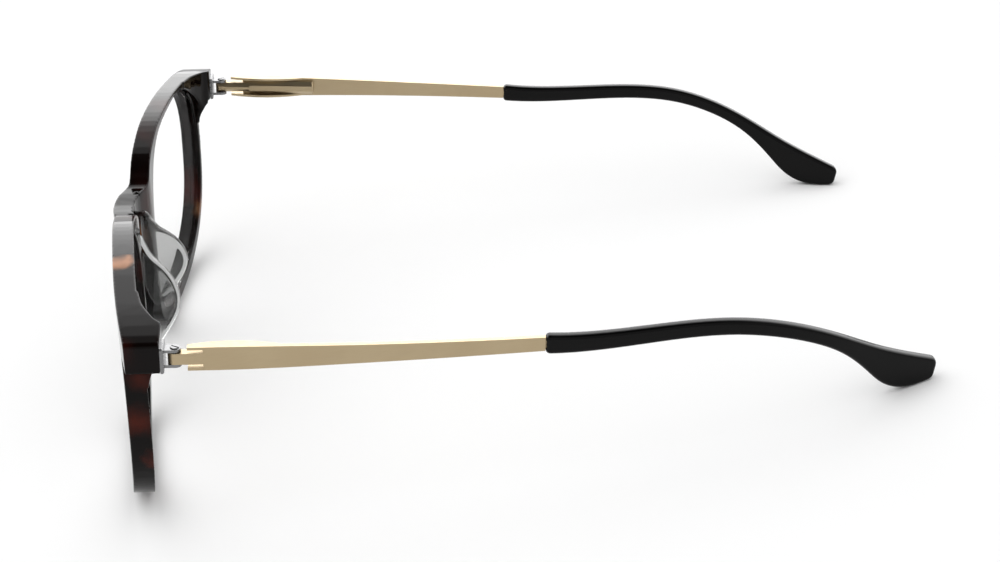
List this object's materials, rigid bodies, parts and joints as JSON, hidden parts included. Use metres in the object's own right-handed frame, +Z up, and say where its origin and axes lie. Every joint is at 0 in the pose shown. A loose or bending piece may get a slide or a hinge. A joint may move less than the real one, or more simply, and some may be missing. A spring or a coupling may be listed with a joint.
{
  "type": "eyeglasses",
  "caption": "Optical spectacles with a tortoiseshell acetate front, clear nose pads, gold metal temples that fold on small hinges, and black tips.",
  "frame": {"origin": "middle of the footprint on the table, with the spectacles open and standing on the bottoms of both rims and both tips", "axes": "+X towards the wearer's left, +Y from the front back to the tips, +Z up; the worn position is tipped 8.61 degrees down at the back"},
  "size_m": [0.132, 0.1536, 0.0457],
  "materials": {
    "front": "polished acetate, very dark tortoiseshell with amber and dark red patches",
    "lens": "clear, polished",
    "nose_pad": "clear, polished, slightly grey",
    "hinge_metal": "satin silver",
    "screw": "satin silver",
    "temple_metal": "satin champagne gold plating",
    "tip": "polished black acetate"
  },
  "bodies": {
    "front": {"front_frame": "front", "lens_left": "lens", "lens_right": "lens", "nose_pad_left": "nose_pad", "nose_pad_right": "nose_pad", "front_hinge_left": "hinge_metal", "front_hinge_right": "hinge_metal", "hinge_screw_left": "screw", "hinge_screw_right": "screw"},
    "left_temple": {"hinge_arm_left": "temple_metal", "temple_blade_left": "temple_metal", "temple_tip_left": "tip"},
    "right_temple": {"hinge_arm_right": "temple_metal", "temple_blade_right": "temple_metal", "temple_tip_right": "tip"}
  },
  "joints": [
    {"name": "left_fold", "type": "hinge", "parent": "front", "child": "left_temple", "pos_m": [0.0635, -0.05773, 0.03661], "axis": [0, 0.1497, 0.9887], "range_deg": [0, 85]},
    {"name": "right_fold", "type": "hinge", "parent": "front", "child": "right_temple", "pos_m": [-0.0635, -0.05773, 0.03661], "axis": [0, -0.1497, -0.9887], "range_deg": [0, 75]}
  ]
}
